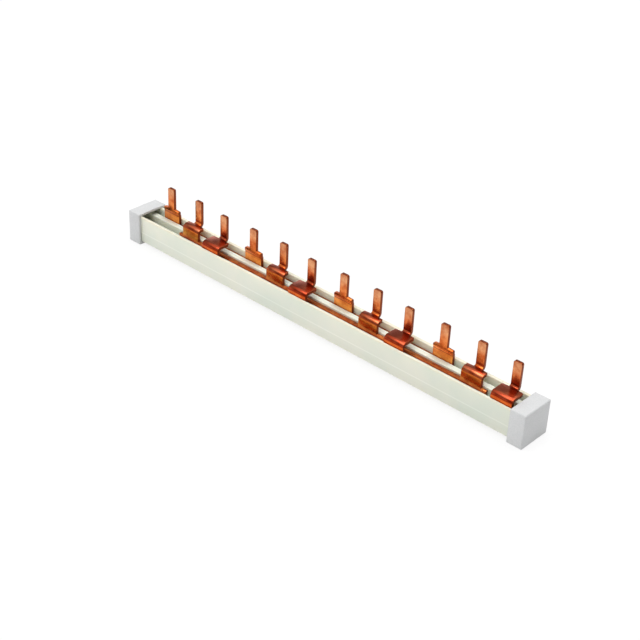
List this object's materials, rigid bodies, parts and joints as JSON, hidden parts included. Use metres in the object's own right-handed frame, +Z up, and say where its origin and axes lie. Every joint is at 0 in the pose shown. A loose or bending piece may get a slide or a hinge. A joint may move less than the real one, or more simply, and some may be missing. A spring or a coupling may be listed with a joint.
{
  "type": "three-phase comb busbar",
  "caption": "Comb busbar with folded copper pin combs in a slotted insulating profile, closed by end caps, for linking a row of breakers.",
  "frame": {"origin": "middle of the bar's length and depth, at the bottom of the end caps", "axes": "+X along the bar from the first pin to the last, +Y from the front wall to the back wall, +Z up towards the pin tips"},
  "size_m": [0.2258, 0.0164, 0.0286],
  "materials": {
    "profile_pvc": "extruded ivory PVC with a soft sheen",
    "copper": "bare stamped copper, bright with darker folds",
    "cap_plastic": "moulded cool white plastic"
  },
  "bodies": {
    "root": {"insulating_profile": "profile_pvc", "rear_comb": "copper", "middle_comb": "copper", "front_comb": "copper", "end_cap_left": "cap_plastic", "end_cap_right": "cap_plastic"}
  },
  "joints": []
}
